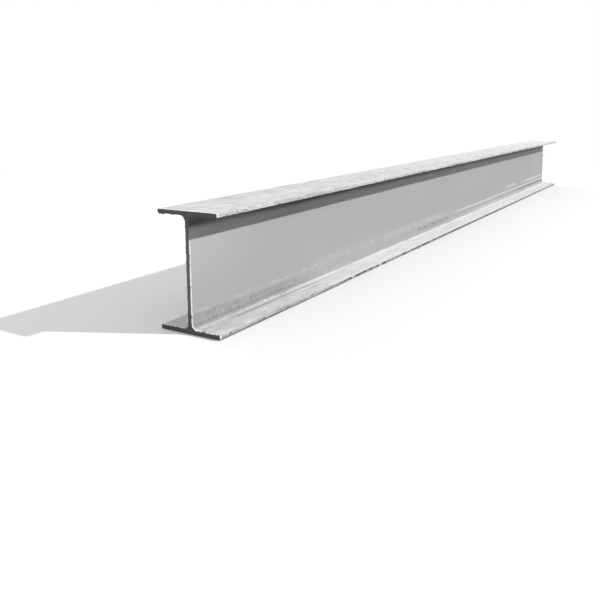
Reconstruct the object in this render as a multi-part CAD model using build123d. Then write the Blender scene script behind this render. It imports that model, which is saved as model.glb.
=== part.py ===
from build123d import *
import os

# Hot-rolled steel H-beam, one stock length sawn square at both ends.
# The real thing is one piece of rolled steel, so it is one solid and one node, h_beam.
# It stands on its lower flange: X runs along the beam, Y across the flanges and Z up.
# The origin is the centre of the underside. Lengths are in millimetres.

# Overall size.
length = 6000.0
depth = 489.0
flange_width = 300.0

# Rolled section.
flange_thickness = 17.5
web_thickness = 14.5
root_radius = 26.0
toe_radius = 2.5

clear_depth = depth - 2 * flange_thickness


def rolled_section():
    """The H seen from the end, drawn about the centre of the web."""
    flange_offset = (depth - flange_thickness) / 2
    with BuildSketch(Plane.YZ) as section:
        Rectangle(web_thickness, clear_depth)
        with Locations((0, flange_offset), (0, -flange_offset)):
            Rectangle(flange_width, flange_thickness)
        # The rolls leave a large round where the web meets a flange, and a small one on each toe.
        across = section.vertices().group_by(Axis.X)
        fillet(across[1] + across[-2], root_radius)
        across = section.vertices().group_by(Axis.X)
        fillet(across[0] + across[-1], toe_radius)
    return section.sketch


def h_beam():
    """The section run out to both ends and set down on its lower flange."""
    stock = extrude(rolled_section(), amount=length / 2, both=True)
    return Pos(0, 0, depth / 2) * stock


os.makedirs("parts", exist_ok=True)
beam = h_beam()
beam.label = "h_beam"
export_step(beam, "parts/h_beam.step")
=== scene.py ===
import math
import random

import bmesh
import bpy
from mathutils import Matrix, Vector, noise


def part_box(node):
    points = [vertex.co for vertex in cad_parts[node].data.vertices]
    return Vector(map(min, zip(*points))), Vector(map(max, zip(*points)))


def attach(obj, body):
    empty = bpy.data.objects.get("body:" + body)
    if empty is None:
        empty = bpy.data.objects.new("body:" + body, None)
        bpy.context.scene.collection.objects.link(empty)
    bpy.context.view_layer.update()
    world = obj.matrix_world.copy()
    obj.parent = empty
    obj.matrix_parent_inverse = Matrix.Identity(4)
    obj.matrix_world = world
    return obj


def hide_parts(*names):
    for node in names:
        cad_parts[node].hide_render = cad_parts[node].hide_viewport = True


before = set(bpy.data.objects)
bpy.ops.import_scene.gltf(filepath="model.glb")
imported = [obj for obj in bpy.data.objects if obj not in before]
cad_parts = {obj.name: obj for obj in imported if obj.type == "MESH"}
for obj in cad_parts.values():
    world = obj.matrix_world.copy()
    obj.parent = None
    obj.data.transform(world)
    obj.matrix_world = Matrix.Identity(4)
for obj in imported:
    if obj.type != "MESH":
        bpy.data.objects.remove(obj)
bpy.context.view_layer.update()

# Everything is in metres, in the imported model's frame: X along the beam, Y across it, Z up.
NODE = "h_beam"
BODY = "root"
low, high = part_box(NODE)
HALF_LENGTH = (high[0] - low[0]) / 2
HALF_WIDTH = (high[1] - low[1]) / 2
HALF_DEPTH = (high[2] - low[2]) / 2
MIDDLE = Vector((low[0] + high[0], low[1] + high[1], low[2] + high[2])) / 2

# Rolled section.
FLANGE = 0.0175
HALF_WEB = 0.0145 / 2
ROOT_RADIUS = 0.026
TOE_RADIUS = 0.0025
FLANGE_FACE = HALF_DEPTH - FLANGE


def spread(start, end, steps, edge=0.0):
    """Evenly spaced values after start, up to and with end, and one more an edge away from both."""
    values = [start + (end - start) * i / steps for i in range(1, steps + 1)]
    if edge:
        lean = math.copysign(edge, end - start)
        values = [start + lean] + values[:-1] + [end - lean, end]
    return values


# Mesh steps round a quarter of the section, from the middle of the web to the middle of the flange.
WEB_STEPS = 8
ROOT_STEPS = 10
INNER_STEPS = 6
TOE_STEPS = 4
TOE_FLAT_STEPS = 2
OUTER_STEPS = 6
EDGE_GAP = 0.0012
# Where each round of the quarter starts and ends, in degrees.
ROOT_TURN = (180, 90)
INNER_TOE_TURN = (-90, 0)
OUTER_TOE_TURN = (0, 90)


def arc(centre, radius, start, end, steps):
    """Points of a round stretch, after its first point, as (across, up)."""
    points = []
    for i in range(1, steps + 1):
        angle = math.radians(start + (end - start) * i / steps)
        points.append((centre[0] + radius * math.cos(angle), centre[1] + radius * math.sin(angle)))
    return points


def quarter_section():
    """A quarter of the section as (across, up) from the middle of the beam."""
    root_across, root_up = HALF_WEB + ROOT_RADIUS, FLANGE_FACE - ROOT_RADIUS
    toe_across = HALF_WIDTH - TOE_RADIUS
    toe_low, toe_high = FLANGE_FACE + TOE_RADIUS, HALF_DEPTH - TOE_RADIUS
    web = spread(0.0, root_up, WEB_STEPS, EDGE_GAP)
    inner = spread(root_across, toe_across, INNER_STEPS, EDGE_GAP)
    toe = spread(toe_low, toe_high, TOE_FLAT_STEPS, EDGE_GAP)
    outer = spread(toe_across, 0.0, OUTER_STEPS, EDGE_GAP)
    points = [(HALF_WEB, 0.0)]
    points += [(HALF_WEB, up) for up in web]
    points += arc((root_across, root_up), ROOT_RADIUS, *ROOT_TURN, ROOT_STEPS)
    points += [(across, FLANGE_FACE) for across in inner]
    points += arc((toe_across, toe_low), TOE_RADIUS, *INNER_TOE_TURN, TOE_STEPS)
    points += [(HALF_WIDTH, up) for up in toe]
    points += arc((toe_across, toe_high), TOE_RADIUS, *OUTER_TOE_TURN, TOE_STEPS)
    points += [(across, HALF_DEPTH) for across in outer]
    return points


def section_outline():
    """The whole section as a closed loop of (across, up) from the middle of the beam."""
    quarter = quarter_section()
    outline = list(quarter)
    outline += [(-across, up) for across, up in reversed(quarter[:-1])]
    outline += [(-across, -up) for across, up in quarter[1:]]
    outline += [(across, -up) for across, up in reversed(quarter[1:-1])]
    return outline


def outward(outline):
    """The outward direction at each point of a closed loop that runs anticlockwise."""
    directions = []
    for i in range(len(outline)):
        before = Vector(outline[i - 1])
        after = Vector(outline[(i + 1) % len(outline)])
        along = (after - before).normalized()
        directions.append(Vector((along.y, -along.x)))
    return directions


# Rolling leaves the edges slightly wavy, and handling leaves small dents along the toes.
WAVE_DEPTH = 0.0009
WAVES_PER_METRE = (1.4, 40.0, 9.0)
GRAIN_DEPTH = 0.00035
GRAINS_PER_METRE = (26.0, 90.0, 90.0)
DENTS = 64
DENT_LENGTHS = (0.004, 0.015)
DENT_DEPTHS = (0.0010, 0.0030)
DENT_REACH = 0.007
DENT_NEAR_SHARE = 0.6
DENT_ENDS_SHARE = 0.99
DENT_NEAR_END_SHARE = -0.3
# Most dents are on the front, and most of them on a flange's inner edge.
DENT_SIDES = (-1, -1, -1, 1)
DENT_EDGES = (FLANGE_FACE, FLANGE_FACE, HALF_DEPTH)
DENT_SEED = 11
STATION_GAP = 0.06
END_STATIONS = (0.0, 0.0015, 0.004, 0.010, 0.025)
CHAMFER = 0.0007
# The place of the cut ends' material among the beam's materials.
SAWN_INDEX = 1


def toe_dents():
    """Where the toes are dented: (along, across, up, half length, depth)."""
    rng = random.Random(DENT_SEED)
    dents = []
    for _ in range(DENTS):
        near = rng.random() < DENT_NEAR_SHARE
        furthest = DENT_NEAR_END_SHARE if near else DENT_ENDS_SHARE
        along = rng.uniform(-DENT_ENDS_SHARE, furthest) * HALF_LENGTH
        across = rng.choice(DENT_SIDES) * HALF_WIDTH
        up = rng.choice((-1, 1)) * rng.choice(DENT_EDGES)
        dents.append((along, across, up, rng.uniform(*DENT_LENGTHS), rng.uniform(*DENT_DEPTHS)))
    return dents


def stations(dents):
    """Places along the beam where the section is drawn, closer together at its ends and dents."""
    steps = math.ceil(2 * HALF_LENGTH / STATION_GAP)
    places = {-HALF_LENGTH + 2 * HALF_LENGTH * i / steps for i in range(1, steps)}
    for inset in END_STATIONS:
        places |= {-HALF_LENGTH + inset, HALF_LENGTH - inset}
    for along, _, _, half, _ in dents:
        places |= {along - half, along - half / 2, along, along + half / 2, along + half}
    places = sorted(place for place in places if abs(place) <= HALF_LENGTH)
    kept = [places[0]]
    for place in places[1:]:
        if place - kept[-1] > EDGE_GAP:
            kept.append(place)
    kept[-1] = HALF_LENGTH
    return kept


def wear(along, across, up, dents):
    """How far a point of the surface lies inside the drawn section."""
    if abs(across) <= HALF_WIDTH - 2 * TOE_RADIUS:
        return 0.0
    place = Vector((along, across, up))
    slow = noise.noise(place * Vector(WAVES_PER_METRE))
    fine = noise.noise(place * Vector(GRAINS_PER_METRE))
    depth = WAVE_DEPTH * (1 + slow) / 2 + GRAIN_DEPTH * (1 + fine) / 2
    for dent_along, dent_across, dent_up, half, deep in dents:
        if abs(along - dent_along) >= half:
            continue
        distance = math.hypot(across - dent_across, up - dent_up)
        if distance < DENT_REACH:
            run = math.cos(math.pi / 2 * (along - dent_along) / half) ** 2
            fall = math.cos(math.pi / 2 * distance / DENT_REACH) ** 2
            depth += deep * run * fall
    return depth


def skin(mesh, rings, smooth=False):
    """Closes a tube round the rings of vertices, with a face on each end. Returns those two."""
    for ring, following in zip(rings, rings[1:]):
        for i in range(len(ring)):
            j = (i + 1) % len(ring)
            face = mesh.faces.new((ring[i], ring[j], following[j], following[i]))
            face.smooth = smooth
    return [mesh.faces.new(rings[0]), mesh.faces.new(rings[-1])]


def beam_mesh():
    """The rolled bar with its two sawn ends, as one closed mesh with a material for each."""
    outline = section_outline()
    directions = outward(outline)
    dents = toe_dents()
    mesh = bmesh.new()
    rings = []
    for along in stations(dents):
        at_end = abs(along) == HALF_LENGTH
        ring = []
        for (across, up), direction in zip(outline, directions):
            inset = wear(along, across, up, dents) + (CHAMFER if at_end else 0.0)
            ring.append(mesh.verts.new(MIDDLE + Vector((
                along, across - direction.x * inset, up - direction.y * inset))))
        rings.append(ring)
    ends = skin(mesh, rings, smooth=True)
    for face in ends:
        face.material_index = SAWN_INDEX
    for ring in (rings[0], rings[1], rings[-2], rings[-1]):
        for i in range(len(ring)):
            edge = mesh.edges.get((ring[i - 1], ring[i]))
            edge.smooth = False
    bmesh.ops.recalc_face_normals(mesh, faces=mesh.faces)
    bmesh.ops.triangulate(mesh, faces=ends)
    return mesh


def add_object(name, data):
    """A new object of the scene."""
    added = bpy.data.objects.new(name, data)
    bpy.context.scene.collection.objects.link(added)
    return added


def mesh_object(name, mesh, materials):
    """Turns a bmesh into an object of the scene."""
    data = bpy.data.meshes.new(name)
    mesh.to_mesh(data)
    mesh.free()
    for material in materials:
        data.materials.append(material)
    return add_object(name, data)


def make_piece(name, mesh, materials):
    """Turns a bmesh into a piece of the object, which rides on the beam's body."""
    piece = mesh_object(name, mesh, materials)
    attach(piece, BODY)
    return piece


# Sawing leaves a ragged lip along the inner edges of each end.
BURR_STEP = 0.0022
BURR_BASE = 0.0030
BURR_TIP = 0.0008
BURR_SINK = 0.0006
BURR_LOW = 0.0003
BURR_ROUGH = 0.0016
BURR_ROUGH_POWER = 3
BURR_PEAKS = 44
BURR_PEAK_HEIGHTS = (0.0010, 0.0044)
BURR_PEAK_WIDTHS = (0.0014, 0.0036)
BURR_CREST_SHARE = 0.8
BURR_SEED = 81


def channel_path(side):
    """Even points along one channel's wall, from toe to toe, each with the way out of the steel."""
    quarter = quarter_section()
    toe = next(i for i, point in enumerate(quarter) if point[0] >= HALF_WIDTH - TOE_RADIUS)
    upper = quarter[:toe + 1]
    wall = [(across, -up) for across, up in reversed(upper[1:])] + upper
    path = []
    for (a0, u0), (a1, u1) in zip(wall, wall[1:]):
        steps = max(1, round(math.hypot(a1 - a0, u1 - u0) / BURR_STEP))
        along = Vector((a1 - a0, u1 - u0)).normalized()
        out = Vector((along.y, -along.x))
        for i in range(steps):
            share = i / steps
            path.append((side * (a0 + (a1 - a0) * share), u0 + (u1 - u0) * share,
                         Vector((side * out.x, out.y))))
    return path


def burr_heights(path, rng):
    """How far the lip stands out of the wall at each point of the path."""
    peaks = [(rng.randrange(len(path)),
              rng.uniform(*BURR_PEAK_WIDTHS), rng.uniform(*BURR_PEAK_HEIGHTS))
             for _ in range(BURR_PEAKS)]
    heights = []
    for i in range(len(path)):
        height = BURR_LOW + BURR_ROUGH * rng.random() ** BURR_ROUGH_POWER
        for place, width, peak in peaks:
            height += peak * math.exp(-((i - place) * BURR_STEP / width) ** 2)
        heights.append(height)
    return heights


def burr_mesh(end):
    """The ragged lips in both channels of one end: -1 is the near end and 1 the far one."""
    rng = random.Random(BURR_SEED + end)
    mesh = bmesh.new()
    for side in (-1, 1):
        path = channel_path(side)
        heights = burr_heights(path, rng)
        rings = []
        for (across, up, out), height in zip(path, heights):
            ring = []
            for inset, rise in ((BURR_BASE, -BURR_SINK), (BURR_TIP, height),
                                (0.0, BURR_CREST_SHARE * height), (0.0, -BURR_SINK)):
                ring.append(mesh.verts.new(MIDDLE + Vector((
                    end * (HALF_LENGTH - inset), across + out.x * rise, up + out.y * rise))))
            rings.append(ring)
        skin(mesh, rings)
    bmesh.ops.recalc_face_normals(mesh, faces=mesh.faces)
    return mesh


# A line is full over this share of its width, and fades from there.
LINE_CORE = 0.25


class Surface:
    """One procedural material, built from numbers that vary over the object's own coordinates."""

    def __init__(self, name):
        self.material = bpy.data.materials.new(name)
        self.material.use_nodes = True
        self.nodes = self.material.node_tree.nodes
        self.links = self.material.node_tree.links
        self.shader = self.nodes["Principled BSDF"]
        texture = self.add("ShaderNodeTexCoord")
        self.place = texture.outputs["Object"]
        split = self.add("ShaderNodeSeparateXYZ", Vector=self.place)
        self.along, self.across, self.up = split.outputs
        facing = self.add("ShaderNodeSeparateXYZ", Vector=texture.outputs["Normal"])
        self.facing_up = facing.outputs["Z"]

    def add(self, kind, settings=None, **inputs):
        """A node with its settings and its inputs, each a value or another node's output."""
        node = self.nodes.new(kind)
        for name, value in (settings or {}).items():
            setattr(node, name, value)
        for name, value in inputs.items():
            self.feed(node.inputs[name.replace("_", " ")], value)
        return node

    def feed(self, socket, value):
        """Links another node's output to the socket, or sets the value there."""
        if isinstance(value, bpy.types.NodeSocket):
            self.links.new(value, socket)
        else:
            socket.default_value = value

    def math(self, operation, first, second=0.0, third=0.0):
        node = self.nodes.new("ShaderNodeMath")
        node.operation = operation
        for socket, value in zip(node.inputs, (first, second, third)):
            self.feed(socket, value)
        return node.outputs[0]

    def times(self, first, second):
        return self.math("MULTIPLY", first, second)

    def total(self, *values):
        result = values[0]
        for value in values[1:]:
            result = self.math("ADD", result, value)
        return result

    def mix(self, share, first, second):
        """The first value where the share is 0, the second where it is 1."""
        node = self.add("ShaderNodeMapRange", {"clamp": False},
                        Value=share, To_Min=first, To_Max=second)
        return node.outputs[0]

    def ramp(self, value, start, end):
        """0 at start, 1 at end and straight between."""
        node = self.add("ShaderNodeMapRange", Value=value, From_Min=start, From_Max=end)
        return node.outputs[0]

    def stretch(self, per_metre, lean=0.0):
        """The object's coordinates, turned about Y by the lean and scaled along X, Y and Z."""
        node = self.add("ShaderNodeMapping", Vector=self.place)
        node.inputs["Scale"].default_value = per_metre
        if not lean:
            return node.outputs[0]
        turn = self.add("ShaderNodeMapping", Vector=self.place)
        turn.inputs["Rotation"].default_value = (0.0, lean, 0.0)
        self.links.new(turn.outputs[0], node.inputs["Vector"])
        return node.outputs[0]

    def noise(self, per_metre, detail, roughness, lean=0.0):
        """Smooth noise from about 0 to 1, with a count per metre along X, Y and Z."""
        node = self.add("ShaderNodeTexNoise", Vector=self.stretch(per_metre, lean), Scale=1.0,
                        Detail=detail, Roughness=roughness)
        return node.outputs[0]

    def sway(self, name, lean=0.0):
        """A pattern as a value that sways between about -1 and 1."""
        return self.math("MULTIPLY_ADD", self.noise(*SWAYS[name], lean), 2.0, -1.0)

    def spots(self, name):
        """A pattern as separate spots: 1 inside them and 0 between them."""
        per_metre, detail, roughness, begin, full = SPOTS[name]
        return self.above(self.noise(per_metre, detail, roughness), begin, full)

    def above(self, value, start, end):
        """0 below start, 1 above end and smooth between. Start may be the larger one."""
        node = self.add("ShaderNodeMapRange", {"interpolation_type": "SMOOTHSTEP"})
        for name, number in (("Value", value), ("From Min", start), ("From Max", end)):
            self.feed(node.inputs[name], number)
        return node.outputs[0]

    def window(self, value, start, end, soft):
        """1 between start and end, with soft borders."""
        return self.times(self.above(value, start - soft, start + soft),
                          self.above(value, end + soft, end - soft))

    def line(self, value, place, half):
        """1 where the value is at the place, falling to 0 at half a width to either side."""
        away = self.math("ABSOLUTE", self.math("SUBTRACT", value, place))
        return self.above(away, half, half * LINE_CORE)

    def bump(self, height, strength, distance):
        """Small relief, as the shader's surface direction."""
        node = self.add("ShaderNodeBump", Height=height, Strength=strength, Distance=distance)
        self.links.new(node.outputs[0], self.shader.inputs["Normal"])


# Greys of the steel, as reflectance.
ROLLED_GREY = 0.40
TOP_GREY = 0.595
# The top face grows paler towards the far end: a painted grazing sheen.
TOP_SHEEN = 0.125
# The shelf is paler than the top face: painted light, against the shade it gets under the top
# flange.
SHELF_GREY = 0.648
TOP_TOE_GREY = 0.86
LOW_TOE_GREY = 0.465
# The cut ends are darker than the steel itself: painted shade on the end faces.
SAWN_GREY = 0.078
SAWN_WEB = 0.055
# No mark is darker or paler than this.
DARKEST = 0.04
PALEST = 0.88
# The web is paler towards its top and its near end, and a little darker towards the far end. The
# rise towards the top is painted shade on the lower web, against the light the lower flange throws
# back onto it.
WEB_RISE = 0.06
WEB_RISE_BETWEEN = (0.10, 0.40)
WEB_DRIFT = -0.055
WEB_NEAR = 0.080
WEB_NEAR_BETWEEN = (-2.35, -3.0)
# The shelf of the lower flange grows paler away from the near end: a painted grazing sheen.
SHELF_SHEEN = 0.195
SHELF_SHEEN_BETWEEN = (-2.9, -1.45)
# Painted shade darkens the top of the web under the top flange, deepening the shade there.
UNDER_FLANGE_SHADE = -0.365
UNDER_FLANGE_SHADE_BETWEEN = (0.405, 0.436)
UNDER_FLANGE_SHADE_SWAY = 0.17
# Mottled tone, without darkening, reaches a little lower, round the edge of that shade.
SHADE_EDGE_MOTTLE_BETWEEN = (0.366, 0.384)
SHADE_EDGE_MOTTLE_SWAY = 0.13
# Sawing chips the scale off along each cut and leaves a bright rim of bare steel, partly a painted
# highlight; the rim is left out in the painted shade under the top flange.
RIM = 0.42
RIM_WIDTH = 0.0105
RIM_FULL = 0.7 * RIM_WIDTH
RIM_CHIP = 0.004
RIM_BELOW = (0.384, 0.372)
# Painted shade darkens the lowest corner of the beam, where it stands on the floor.
SOLE_SHADE = -0.25
SOLE_HEIGHT = 0.0030
# Faces that look up by this much, as the height of their outward direction, are paler and duller:
# dust, and partly painted light.
UP_FACING = (0.74, 0.99)

SCALE_METALLIC = 0.05
SCALE_SPECULAR = 0.28
SCALE_ROUGHNESS = 0.55
SAWN_METALLIC = 0.2
SAWN_ROUGHNESS = 0.5

# Patterns that sway about a middle: features per metre along X, Y and Z, then detail and roughness.
SWAYS = {
    "clouds": ((1.3, 4.0, 4.0), 3.0, 0.5),
    "blotches": ((12.0, 26.0, 26.0), 4.0, 0.6),
    "grain": ((260.0, 260.0, 260.0), 2.0, 0.5),
    "streaks": ((0.6, 60.0, 60.0), 5.0, 0.6),
    "under_flange_shade": ((3.0, 30.0, 30.0), 4.0, 0.65),
    "foot edge": ((14.0, 9.0, 9.0), 4.0, 0.7),
    "strokes": ((115.0, 20.0, 42.0), 1.0, 0.4),
    "lumps": ((46.0, 30.0, 75.0), 3.0, 0.85),
    "flakes": ((50.0, 30.0, 115.0), 3.0, 0.85),
    "line path": ((1.7, 1.0, 1.0), 3.0, 0.5),
    "shelf streaks": ((2.2, 60.0, 60.0), 5.0, 0.7),
    "shelf mottle": ((9.0, 18.0, 18.0), 5.0, 0.8),
    "score path": ((4.0, 1.0, 1.0), 3.0, 0.5),
    "top mottle": ((10.0, 24.0, 24.0), 5.0, 0.8),
    "toe mottle": ((12.0, 10.0, 45.0), 5.0, 0.8),
    "toe path": ((3.0, 1.0, 1.0), 3.0, 0.5),
    "chipping": ((60.0, 90.0, 90.0), 3.0, 0.5),
    "drag": ((1.0, 22.0, 520.0), 3.0, 0.6),
    "saw bands": ((1.0, 5.0, 90.0), 3.0, 0.6),
    "saw patches": ((30.0, 30.0, 30.0), 4.0, 0.5),
}
# Patterns of separate spots: the same, then the noise values at which a spot begins and is full.
SPOTS = {
    "foot patches": ((9.0, 50.0, 50.0), 5.0, 0.62, 0.25, 0.60),
    "stroke groups": ((11.0, 9.0, 40.0), 4.0, 0.8, 0.30, 0.66),
    "halo groups": ((5.0, 9.0, 9.0), 3.0, 0.5, 0.36, 0.52),
    "dots": ((32.0, 20.0, 70.0), 3.0, 0.75, 0.48, 0.58),
    "smudge": ((12.0, 20.0, 70.0), 4.0, 0.8, 0.40, 0.64),
    "line wear": ((5.0, 9.0, 30.0), 4.0, 0.7, 0.34, 0.56),
    "chips": ((42.0, 70.0, 70.0), 3.0, 0.6, 0.54, 0.60),
    "crumbs": ((55.0, 60.0, 60.0), 2.0, 0.5, 0.62, 0.68),
    "pits": ((45.0, 60.0, 60.0), 2.0, 0.5, 0.34, 0.26),
    "score breaks": ((12.0, 10.0, 10.0), 4.0, 0.7, 0.26, 0.44),
    "specks": ((24.0, 50.0, 50.0), 2.0, 0.5, 0.44, 0.56),
    "dashes": ((25.0, 12.0, 12.0), 3.0, 0.6, 0.43, 0.52),
    "nicks": ((34.0, 90.0, 90.0), 3.0, 0.65, 0.58, 0.64),
    "glints": ((34.0, 90.0, 90.0), 3.0, 0.65, 0.38, 0.32),
    "drips": ((30.0, 12.0, 12.0), 3.0, 0.65, 0.46, 0.56),
    "saw glints": ((1.0, 60.0, 700.0), 2.0, 0.5, 0.60, 0.70),
}
# How much each mark changes the grey under it.
TONES = {
    "clouds": 0.022, "blotches": 0.014, "grain": 0.022, "streaks": 0.014,
    "foot dark": -0.078, "strokes": 0.33, "halo": 0.035, "halo lumps": 0.15, "scuffs": 0.20,
    "pale near": 0.028, "pale beyond": 0.050, "pale flakes": 0.25, "dots": -0.17, "smudge": 0.33,
    "drip": -0.12,
    "gutter near": -0.10, "gutter middle": -0.03, "gutter beyond": 0.09,
    "shelf streaks": 0.08, "shelf mottle": 0.33, "root dark": -0.075, "chips": 0.30, "crumbs": 0.10,
    "pits": -0.10, "specks": 0.30, "edge dirt": -0.08,
    "top mottle": 0.37, "top streaks": 0.14, "top edge": -0.05,
    "toe mottle": 0.50, "toe shadow line": -0.48, "dashes": -0.56, "top line": -0.10, "toe nicks": -0.26,
    "toe glints": 0.12, "drips": -0.40,
    "drag": 0.022, "saw bands": 0.033, "saw patches": 0.038, "saw glints": 0.09,
}

# Marks along the foot of the web: heights above the underside, and places along the beam.
FOOT_LOW = 0.027
FOOT_TOPS = (0.077, 0.057)
FOOT_TOPS_BETWEEN = (-2.9, -2.15)
FOOT_SOFT = 0.007
FOOT_RAGGED = 0.010
FOOT_FADE = (-2.05, -2.35)
FOOT_LEAST_SHARE = 0.6
FOOT_BEYOND_SHARE = 0.15
STROKE_BAND = (0.034, 0.072)
STROKE_RUNS = ((-2.93, -2.54), (-2.40, -2.18))
STROKE_LEAN = -0.35
HALO_BAND = (0.074, 0.092)
HALO_RUN = (-3.2, -1.9)
SCUFF_BAND = (0.080, 0.116)
SCUFF_RUNS = ((-2.46, -2.34), (-2.18, -2.04), (-1.75, -1.62))
PALE_BAND = (0.074, 0.116)
PALE_RUN = (-2.02, -0.12)
PALE_GROWS = (-1.7, -0.9)
DOT_BAND = (0.038, 0.064)
DOT_RUN = (-0.68, -0.10)
GUTTER_HEIGHT = 0.031
GUTTER_HALF = 0.010
GUTTER_TURNS = ((-2.25, -1.95), (-0.3, 0.8))
# Lines along the foot of the web: start, height, half width and change in tone.
FAR_LINES = (
    (-0.15, 0.0735, 0.0075, 0.31),
    (1.70, 0.052, 0.009, -0.21),
    (1.90, 0.112, 0.010, 0.33),
)
FAR_FADE = 0.5
LINE_LEAST_SHARE = 0.55
SMUDGE_RUN = (1.46, 1.86)
SMUDGE_BAND = (0.106, 0.130)
# A dark drip on the web, and faint upright lines near the far end, each with its place, half width
# and change in tone.
DRIP_PLACE = (-0.227, 0.267)
DRIP_HALF = (0.024, 0.007)
DRIP_BORDER = (1.3, 0.2)
UPRIGHT_LINES = (
    (2.43, 0.022, -0.08),
    (2.50, 0.020, 0.05),
    (2.62, 0.018, 0.04),
)
UPRIGHT_RISE = (0.10, 0.36)
UPRIGHT_SOFT = 0.03
# Soft borders of the marks: of short and long runs along the beam, and of bands, edges and strips
# across it.
RUN_SOFT = 0.06
LONG_RUN_SOFT = 0.15
BAND_SOFT = 0.009
EDGE_SOFT = 0.006
STRIP_SOFT = 0.003

# Marks on the flanges' faces, as distances from the middle of the web and places along the beam.
CHIP_STRIP = (0.012, 0.030)
CHIP_RUN = (-2.70, -2.20)
# A strip beside the root, near the near end, is darker.
ROOT_DARK_STRIP = (0.012, 0.058)
ROOT_DARK_FADE = (-1.95, -2.3)
# Scores in the shelf: distance, start, end, half width and change in tone.
SCORES = (
    (0.049, -2.76, -1.95, 0.0055, -0.30),
    (0.083, -2.36, -2.12, 0.0050, -0.28),
)
SCORE_STRAY = 0.006
SPECK_STRIP = (0.137, 0.147)
SPECK_RUN = (-2.05, 1.3)
EDGE_STRIP = (0.142, 0.149)
EDGE_FADE = (-2.0, -2.25)
TOP_EDGE_STRIP = (0.128, 0.149)
TOP_EDGE_FADE = (-1.6, -2.1)
# Lines along the toes, as heights from the middle of the flange's thickness, positive inwards.
# The lowest of them is a painted shadow: a dark line along the foot of the lower toe, near the near
# end.
TOE_SHADOW_LINE = -0.0058
TOE_SHADOW_LINE_HALF = 0.0034
DASH_LINE = 0.0012
DASH_HALF = 0.0066
DASH_RISE = (-2.25, -1.85)
DASH_JOIN = (-1.5, -1.0)
DASH_JOIN_SHARE = 0.5
DASH_FADE = (1.0, 2.2)
DASH_FAR_SHARE = 0.65
TOP_LINE = 0.0010
TOP_LINE_HALF = 0.0020
DRIP_FROM = 0.003
TOE_STRAY = 0.0012
NICK_REACH = (0.008, 0.002)

# How deep the marks go, against a depth of 1 for the strokes, chips and lines.
DOT_RELIEF = -0.6
PIT_RELIEF = -0.8
SCORE_RELIEF = 2.5
GRAIN_RELIEF = 0.3
BLOTCH_RELIEF = 0.5
# Strength and depth of the relief on the rolled faces and on the cuts.
SCALE_BUMP = (0.35, 0.0006)
SAWN_BUMP = (0.5, 0.0004)
# How much duller dust is, and how far the roughness sways with the blotches and the streaks.
DUST_ROUGHNESS = 0.35
BLOTCH_ROUGHNESS = 0.06
STREAK_ROUGHNESS = 0.05


def rolled_ground(s, shelf):
    """The plain tone of the rolled faces, without marks, with painted shade under the top flange
    and painted light and sheen on the upward faces.
    """
    # Upward faces are paler: dust, and partly painted light.
    looks_up = s.above(s.facing_up, *UP_FACING)
    share_along = s.ramp(s.along, -HALF_LENGTH, HALF_LENGTH)
    rise = s.total(WEB_RISE, s.times(s.above(s.along, *WEB_NEAR_BETWEEN), WEB_NEAR))
    sway = s.sway("under_flange_shade")
    # Painted shade under the top flange, swaying in strength.
    under_flange_shade = s.total(UNDER_FLANGE_SHADE, s.times(sway, UNDER_FLANGE_SHADE_SWAY))
    shade_edge_mottle = s.times(s.above(s.up, *SHADE_EDGE_MOTTLE_BETWEEN), s.times(sway, SHADE_EDGE_MOTTLE_SWAY))
    upright = s.total(ROLLED_GREY, s.times(share_along, WEB_DRIFT),
                      s.times(s.ramp(s.up, *WEB_RISE_BETWEEN), rise),
                      s.times(s.above(s.up, *UNDER_FLANGE_SHADE_BETWEEN), under_flange_shade), shade_edge_mottle)
    top_grey = s.total(TOP_GREY, s.times(share_along, TOP_SHEEN))
    shelf_grey = s.total(SHELF_GREY, s.times(s.above(s.along, *SHELF_SHEEN_BETWEEN), SHELF_SHEEN))
    upward_grey = s.mix(shelf, top_grey, shelf_grey)
    return s.mix(looks_up, upright, upward_grey)


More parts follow.
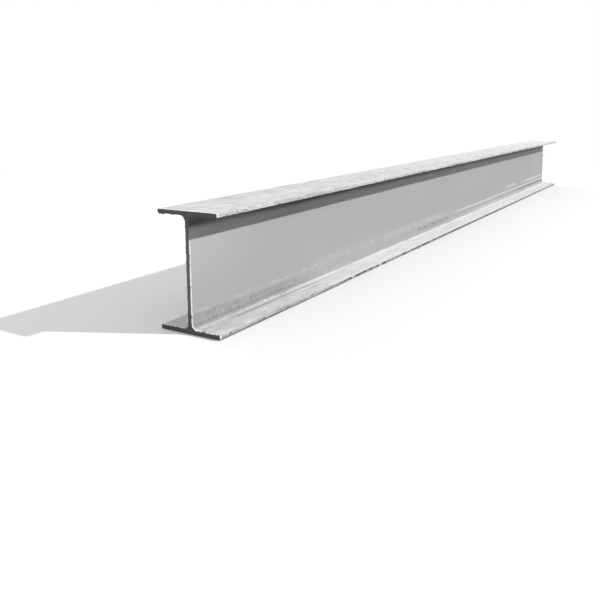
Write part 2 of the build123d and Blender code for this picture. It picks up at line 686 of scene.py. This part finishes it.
def foot_marks(s, front):
    """Scuffs, strokes, dots and lines along the foot of the web. Returns their tone and relief."""
    ragged = s.math("MULTIPLY_ADD", s.sway("foot edge"), FOOT_RAGGED, s.up)
    top = s.mix(s.ramp(s.along, *FOOT_TOPS_BETWEEN), *FOOT_TOPS)
    band = s.times(s.above(s.up, FOOT_LOW - FOOT_SOFT, FOOT_LOW + FOOT_SOFT),
                   s.above(s.math("SUBTRACT", ragged, top), FOOT_SOFT, -FOOT_SOFT))
    dark = s.times(band, s.mix(s.spots("foot patches"), FOOT_LEAST_SHARE, 1.0))
    dark = s.times(dark, s.mix(s.above(s.along, *FOOT_FADE), FOOT_BEYOND_SHARE, 1.0))

    runs = s.total(*(s.window(s.along, *run, RUN_SOFT) for run in STROKE_RUNS))
    strokes = s.times(s.sway("strokes", STROKE_LEAN), s.times(runs, s.spots("stroke groups")))
    strokes = s.times(strokes, s.window(ragged, *STROKE_BAND, FOOT_SOFT))

    lumps = s.sway("lumps")
    halo = s.times(s.window(ragged, *HALO_BAND, FOOT_SOFT),
                   s.window(s.along, *HALO_RUN, LONG_RUN_SOFT))
    halo = s.times(halo, s.spots("halo groups"))
    halo_tone = s.times(halo, s.total(TONES["halo"], s.times(lumps, TONES["halo lumps"])))
    scuff_runs = s.total(*(s.window(s.along, *run, RUN_SOFT) for run in SCUFF_RUNS))
    scuffs = s.times(s.times(s.window(ragged, *SCUFF_BAND, BAND_SOFT), scuff_runs), lumps)

    pale = s.times(s.window(ragged, *PALE_BAND, BAND_SOFT),
                   s.window(s.along, *PALE_RUN, LONG_RUN_SOFT))
    pale_tone = s.mix(s.ramp(s.along, *PALE_GROWS), TONES["pale near"], TONES["pale beyond"])
    pale_tone = s.times(pale, s.total(pale_tone, s.times(s.sway("flakes"), TONES["pale flakes"])))
    dot_place = s.times(s.window(ragged, *DOT_BAND, EDGE_SOFT),
                        s.window(s.along, *DOT_RUN, RUN_SOFT))
    dots = s.times(s.spots("dots"), dot_place)
    lines = s.total(*(s.times(foot_line(s, start, height, half), change)
                      for start, height, half, change in FAR_LINES))
    smudge_place = s.times(s.window(s.up, *SMUDGE_BAND, EDGE_SOFT),
                           s.window(s.along, *SMUDGE_RUN, RUN_SOFT))
    smudge = s.times(s.spots("smudge"), smudge_place)

    middle_turn, far_turn = GUTTER_TURNS
    gutter_tone = s.mix(s.ramp(s.along, *middle_turn), TONES["gutter near"], TONES["gutter middle"])
    gutter_tone = s.total(gutter_tone, s.times(s.ramp(s.along, *far_turn), TONES["gutter beyond"]))
    gutter = s.times(s.line(s.up, GUTTER_HEIGHT, GUTTER_HALF), gutter_tone)

    on_front = s.total(s.times(dots, TONES["dots"]), lines,
                       s.times(smudge, TONES["smudge"]), pale_tone)
    tone = s.total(s.times(dark, TONES["foot dark"]), s.times(strokes, TONES["strokes"]), halo_tone,
                   s.times(scuffs, TONES["scuffs"]), gutter, s.times(on_front, front))
    relief = s.total(strokes, scuffs, s.times(dots, DOT_RELIEF))
    return tone, relief


def foot_line(s, start, height, half):
    """One wandering line along the foot of the web, from its start to the far end."""
    path = s.math("MULTIPLY_ADD", s.sway("line path"), half, s.up)
    worn = s.mix(s.spots("line wear"), LINE_LEAST_SHARE, 1.0)
    return s.times(s.times(s.line(path, height, half), worn),
                   s.above(s.along, start, start + FAR_FADE))


def web_marks(s, front):
    """What shows higher up the web: a small drip and faint upright lines."""
    aside = s.times(s.math("SUBTRACT", s.along, DRIP_PLACE[0]), 1 / DRIP_HALF[0])
    raised = s.times(s.math("SUBTRACT", s.up, DRIP_PLACE[1]), 1 / DRIP_HALF[1])
    drip = s.above(s.math("ADD", s.times(aside, aside), s.times(raised, raised)), *DRIP_BORDER)
    lines = s.total(*(s.times(s.line(s.along, place, half), change)
                      for place, half, change in UPRIGHT_LINES))
    lines = s.times(lines, s.window(s.up, *UPRIGHT_RISE, UPRIGHT_SOFT))
    return s.times(front, s.total(s.times(drip, TONES["drip"]), lines))


def shelf_marks(s, off_web, front):
    """Marks on a flange's inner face. Returns their tone and their relief."""
    chips = s.times(s.spots("chips"), s.times(s.window(off_web, *CHIP_STRIP, STRIP_SOFT),
                                              s.window(s.along, *CHIP_RUN, LONG_RUN_SOFT)))
    crumbs = s.spots("crumbs")
    pits = s.spots("pits")
    root_dark = s.times(s.window(off_web, *ROOT_DARK_STRIP, BAND_SOFT),
                        s.above(s.along, *ROOT_DARK_FADE))
    path = s.math("MULTIPLY_ADD", s.sway("score path"), SCORE_STRAY, off_web)
    scores = s.total(*(
        s.times(s.times(s.line(path, place, half), s.window(s.along, begin, end, RUN_SOFT)), change)
        for place, begin, end, half, change in SCORES))
    scores = s.times(s.times(scores, s.spots("score breaks")), front)
    specks = s.times(s.spots("specks"), s.times(s.window(off_web, *SPECK_STRIP, STRIP_SOFT),
                                                s.window(s.along, *SPECK_RUN, LONG_RUN_SOFT)))
    edge_dirt = s.times(s.window(off_web, *EDGE_STRIP, STRIP_SOFT), s.above(s.along, *EDGE_FADE))
    tone = s.total(s.times(s.sway("shelf streaks"), TONES["shelf streaks"]),
                   s.times(s.sway("shelf mottle"), TONES["shelf mottle"]),
                   s.times(chips, TONES["chips"]), s.times(crumbs, TONES["crumbs"]),
                   s.times(pits, TONES["pits"]), s.times(root_dark, TONES["root dark"]),
                   s.times(specks, TONES["specks"]), s.times(edge_dirt, TONES["edge dirt"]), scores)
    relief = s.total(chips, crumbs, s.times(pits, PIT_RELIEF), s.times(scores, SCORE_RELIEF))
    return tone, relief


def top_marks(s, off_web):
    """Marks on the flanges' outer faces."""
    edge = s.times(s.window(off_web, *TOP_EDGE_STRIP, EDGE_SOFT), s.above(s.along, *TOP_EDGE_FADE))
    return s.total(s.times(s.sway("streaks"), TONES["top streaks"]),
                   s.times(s.sway("top mottle"), TONES["top mottle"]),
                   s.times(edge, TONES["top edge"]))


def toe_marks(s, off_web, off_flange, lower):
    """The lines, dashes and nicks that run along the toes. Returns their tone and relief."""
    edge = s.above(off_web, HALF_WIDTH - TOE_RADIUS, HALF_WIDTH - TOE_RADIUS / 2)
    path = s.math("MULTIPLY_ADD", s.sway("toe path"), TOE_STRAY, off_flange)
    beyond = s.above(s.along, *DASH_RISE)
    near = s.math("SUBTRACT", 1.0, beyond)
    # A painted shadow line along the foot of the lower toe, near the near end.
    line = s.times(s.line(path, TOE_SHADOW_LINE, TOE_SHADOW_LINE_HALF), near)
    joined = s.times(s.above(s.along, *DASH_JOIN), DASH_JOIN_SHARE)
    dash_share = s.times(beyond, s.mix(s.ramp(s.along, *DASH_FADE), 1.0, DASH_FAR_SHARE))
    dashes = s.times(s.line(path, DASH_LINE, DASH_HALF),
                     s.math("MAXIMUM", s.spots("dashes"), joined))
    dashes = s.times(dashes, dash_share)
    top_line = s.times(s.line(path, TOP_LINE, TOP_LINE_HALF), near)
    drips = s.times(s.times(s.above(path, DRIP_FROM, FLANGE / 2), s.spots("drips")), beyond)
    lower_tone = s.total(s.times(line, TONES["toe shadow line"]), s.times(dashes, TONES["dashes"]))
    upper_tone = s.total(s.times(top_line, TONES["top line"]), s.times(drips, TONES["drips"]))
    toe_grey = s.mix(lower, TOP_TOE_GREY - ROLLED_GREY, LOW_TOE_GREY - ROLLED_GREY)
    toe = s.total(toe_grey, s.mix(lower, upper_tone, lower_tone),
                  s.times(s.sway("toe mottle"), TONES["toe mottle"]))
    near_toe = s.above(off_web, HALF_WIDTH - NICK_REACH[0], HALF_WIDTH - NICK_REACH[1])
    nicks = s.times(near_toe, s.spots("nicks"))
    glints = s.times(near_toe, s.spots("glints"))
    tone = s.total(s.times(edge, toe), s.times(nicks, TONES["toe nicks"]),
                   s.times(glints, TONES["toe glints"]))
    relief = s.math("SUBTRACT", 0.0, s.total(line, dashes, nicks))
    return tone, relief


def rim_marks(s):
    """The bright rim of bare steel along both cuts, partly a painted highlight, left out in the
    painted shade under the top flange.
    """
    inset = s.math("SUBTRACT", HALF_LENGTH, s.math("ABSOLUTE", s.along))
    ragged = s.math("ADD", inset, s.times(s.sway("chipping"), RIM_CHIP))
    bare = s.above(ragged, RIM_WIDTH, RIM_FULL)
    on_top_flange = s.above(s.up, high[2] - FLANGE, high[2] - FLANGE / 2)
    outside_painted_shade = s.math("MAXIMUM", s.above(s.up, *RIM_BELOW), on_top_flange)
    return s.times(s.times(bare, outside_painted_shade), RIM)


# Where the marks of each part begin and are full. Those of the front, the web and the flanges are
# places across the beam. Those of a flange's faces run inwards from the middle of its thickness.
# The last two are heights, from the beam's middle and from its underside.
FRONT_FROM = (0.0, -HALF_WEB / 2)
WEB_FROM = (HALF_WEB + ROOT_RADIUS, HALF_WEB + ROOT_RADIUS / 3)
FLANGE_FROM = (HALF_WEB + ROOT_RADIUS / 4, HALF_WEB + ROOT_RADIUS / 2)
INNER_FACE_FROM = (0.0, FLANGE / 2)
OUTER_FACE_FROM = (-FLANGE / 4, -FLANGE / 2)
LOWER_FROM = (0.0, -HALF_DEPTH / 2)
SOLE_FROM = (SOLE_HEIGHT, SOLE_HEIGHT / 3)


def rolled_steel():
    """Dull light grey rolled steel: mottled, streaked lengthwise and marked by handling."""
    s = Surface("rolled_steel")
    from_middle = s.math("SUBTRACT", s.up, MIDDLE.z)
    half_up = s.math("ABSOLUTE", from_middle)
    off_web = s.math("ABSOLUTE", s.across)
    off_flange = s.math("SUBTRACT", HALF_DEPTH - FLANGE / 2, half_up)
    front = s.above(s.across, *FRONT_FROM)
    on_web = s.above(off_web, *WEB_FROM)
    inner_face = s.above(off_flange, *INNER_FACE_FROM)
    on_flange = s.above(off_web, *FLANGE_FROM)
    lower = s.above(from_middle, *LOWER_FROM)
    outer_face = s.above(off_flange, *OUTER_FACE_FROM)
    sole_shade = s.above(s.up, *SOLE_FROM)
    shelf_here = s.times(on_flange, inner_face)

    blotches = s.sway("blotches")
    grain = s.sway("grain")
    streaks = s.sway("streaks")
    foot_tone, foot_relief = foot_marks(s, front)
    shelf_tone, shelf_relief = shelf_marks(s, off_web, front)
    toe_tone, toe_relief = toe_marks(s, off_web, off_flange, lower)
    overall = s.total(s.times(s.sway("clouds"), TONES["clouds"]),
                      s.times(blotches, TONES["blotches"]),
                      s.times(grain, TONES["grain"]), s.times(streaks, TONES["streaks"]))
    tone = s.total(rolled_ground(s, lower), overall, rim_marks(s), s.times(sole_shade, SOLE_SHADE),
                   s.times(on_web, s.total(foot_tone, web_marks(s, front))),
                   s.times(shelf_here, shelf_tone), s.times(on_flange, toe_tone),
                   s.times(outer_face, top_marks(s, off_web)))
    tone = s.math("MINIMUM", s.math("MAXIMUM", tone, DARKEST), PALEST)
    s.links.new(tone, s.shader.inputs["Base Color"])

    dust = s.above(s.facing_up, *UP_FACING)
    rough = s.total(SCALE_ROUGHNESS, s.times(dust, DUST_ROUGHNESS),
                    s.times(blotches, BLOTCH_ROUGHNESS), s.times(streaks, STREAK_ROUGHNESS))
    s.links.new(rough, s.shader.inputs["Roughness"])
    s.shader.inputs["Metallic"].default_value = SCALE_METALLIC
    s.shader.inputs["Specular IOR Level"].default_value = SCALE_SPECULAR
    relief = s.total(s.times(grain, GRAIN_RELIEF), s.times(blotches, BLOTCH_RELIEF),
                     s.times(on_web, foot_relief), s.times(shelf_here, shelf_relief),
                     s.times(on_flange, toe_relief))
    s.bump(relief, *SCALE_BUMP)
    return s.material


def sawn_steel():
    """The cut ends: steel painted darker, as shade on the end faces, with fine parallel drag lines.
    """
    s = Surface("sawn_steel")
    drag = s.sway("drag")
    bands = s.sway("saw bands")
    half_up = s.math("ABSOLUTE", s.math("SUBTRACT", s.up, MIDDLE.z))
    on_web = s.above(half_up, FLANGE_FACE, FLANGE_FACE / 2)
    tone = s.total(SAWN_GREY, s.times(on_web, SAWN_WEB), s.times(drag, TONES["drag"]),
                   s.times(bands, TONES["saw bands"]),
                   s.times(s.sway("saw patches"), TONES["saw patches"]),
                   s.times(s.spots("saw glints"), TONES["saw glints"]))
    s.links.new(tone, s.shader.inputs["Base Color"])
    s.shader.inputs["Roughness"].default_value = SAWN_ROUGHNESS
    s.shader.inputs["Metallic"].default_value = SAWN_METALLIC
    s.bump(s.total(drag, bands), *SAWN_BUMP)
    return s.material


# The photograph's camera, as the lens centre and focal length in its pixels, and where it stood.
PICTURE = 600.0
LENS_ACROSS, LENS_DOWN = 300.0, 200.0
FOCAL_PIXELS = 673.2
SENSOR = 36.0
CAMERA_PLACE = (-4.9251, -1.7203, 0.8665)
CAMERA_HEADING = math.radians(32.068)
CAMERA_TILT = math.radians(-7.612)
CAMERA_ROLL = math.radians(-0.632)


def make_camera():
    """The camera that sees the beam as the photograph does."""
    data = bpy.data.cameras.new("camera")
    data.sensor_width = SENSOR
    data.lens = SENSOR * FOCAL_PIXELS / PICTURE
    data.shift_x = (PICTURE / 2 - LENS_ACROSS) / PICTURE
    data.shift_y = (LENS_DOWN - PICTURE / 2) / PICTURE
    camera = add_object("camera", data)
    ahead = Vector((math.cos(CAMERA_HEADING) * math.cos(CAMERA_TILT),
                    math.sin(CAMERA_HEADING) * math.cos(CAMERA_TILT), math.sin(CAMERA_TILT)))
    turn = ahead.to_track_quat("-Z", "Y").to_matrix() @ Matrix.Rotation(CAMERA_ROLL, 3, "Z")
    camera.location = CAMERA_PLACE
    camera.rotation_euler = turn.to_euler()
    bpy.context.scene.camera = camera


# The key light comes from the front, beyond the far end. A soft fill lights the back, and the rest
# is a dome that is brightest overhead.
KEY_FROM = Vector((0.5, -1.0, 0.695))
KEY_STRENGTH = 2.75
KEY_SOFTNESS = math.radians(1.2)
FILL_FROM = Vector((0.4, 1.0, 0.45))
FILL_STRENGTH = 0.9
FILL_SOFTNESS = math.radians(35)
DOME_LOW = 0.30
DOME_TOP = 0.71
FLOOR_SIZE = 60.0
FLOOR_GREY = 0.98
FLOOR_BOUNCE = 0.26
FLOOR_ROUGHNESS = 0.9
FLOOR_FADE = (3.2, 7.0)


def make_light(name, shines_from, strength, softness):
    """A sun lamp."""
    sun = bpy.data.lights.new(name, "SUN")
    sun.energy = strength
    sun.angle = softness
    lamp = add_object(name, sun)
    lamp.rotation_euler = shines_from.to_track_quat("Z", "Y").to_euler()


def seen_rays(nodes, links):
    """1 for rays that show the backdrop: from the camera, in a reflection or through glass."""
    path = nodes.new("ShaderNodeLightPath")
    value = path.outputs["Is Camera Ray"]
    for name in ("Is Glossy Ray", "Is Transmission Ray"):
        both = nodes.new("ShaderNodeMath")
        both.operation = "MAXIMUM"
        links.new(value, both.inputs[0])
        links.new(path.outputs[name], both.inputs[1])
        value = both.outputs[0]
    return value


def make_world():
    """White to look at, and a soft light on the object that grows from the horizon to overhead."""
    world = bpy.data.worlds.new("studio")
    bpy.context.scene.world = world
    world.use_nodes = True
    nodes, links = world.node_tree.nodes, world.node_tree.links
    background = nodes["Background"]
    background.inputs["Color"].default_value = (1.0, 1.0, 1.0, 1.0)
    direction = nodes.new("ShaderNodeTexCoord")
    split = nodes.new("ShaderNodeSeparateXYZ")
    links.new(direction.outputs["Generated"], split.inputs[0])
    dome = nodes.new("ShaderNodeMapRange")
    dome.inputs["To Min"].default_value = DOME_LOW
    dome.inputs["To Max"].default_value = DOME_TOP
    links.new(split.outputs["Z"], dome.inputs["Value"])
    strength = nodes.new("ShaderNodeMapRange")
    links.new(seen_rays(nodes, links), strength.inputs["Value"])
    links.new(dome.outputs[0], strength.inputs["To Min"])
    strength.inputs["To Max"].default_value = 1.0
    links.new(strength.outputs[0], background.inputs["Strength"])


def floor_material():
    """Pale to look at and fading to white far off, with a quieter bounce back onto the object."""
    s = Surface("studio_floor")
    s.shader.inputs["Roughness"].default_value = FLOOR_ROUGHNESS
    s.shader.inputs["Specular IOR Level"].default_value = 0.0
    seen = seen_rays(s.nodes, s.links)
    grey = s.add("ShaderNodeMapRange", Value=seen)
    grey.inputs["To Min"].default_value = FLOOR_BOUNCE
    grey.inputs["To Max"].default_value = FLOOR_GREY
    s.links.new(grey.outputs[0], s.shader.inputs["Base Color"])
    distance = s.add("ShaderNodeVectorMath", {"operation": "LENGTH"})
    s.links.new(s.place, distance.inputs[0])
    far_off = s.above(distance.outputs["Value"], *FLOOR_FADE)
    white = s.add("ShaderNodeEmission", Strength=1.0)
    mix = s.add("ShaderNodeMixShader")
    s.links.new(s.times(far_off, seen), mix.inputs[0])
    s.links.new(s.shader.outputs[0], mix.inputs[1])
    s.links.new(white.outputs[0], mix.inputs[2])
    s.links.new(mix.outputs[0], s.nodes["Material Output"].inputs["Surface"])
    return s.material


def make_floor():
    """A wide floor at the height of the beam's underside."""
    mesh = bmesh.new()
    bmesh.ops.create_grid(mesh, x_segments=1, y_segments=1, size=FLOOR_SIZE / 2)
    floor = mesh_object("floor", mesh, (floor_material(),))
    floor.location = (0.0, 0.0, low[2])


rolled = rolled_steel()
sawn = sawn_steel()
beam = make_piece("rolled_beam", beam_mesh(), (rolled, sawn))
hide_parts(NODE)
make_piece("burr_near", burr_mesh(-1), (sawn,))
make_piece("burr_far", burr_mesh(1), (sawn,))

make_camera()
make_light("key", KEY_FROM, KEY_STRENGTH, KEY_SOFTNESS)
make_light("fill", FILL_FROM, FILL_STRENGTH, FILL_SOFTNESS)
make_world()
make_floor()
bpy.context.scene.view_settings.view_transform = "Standard"
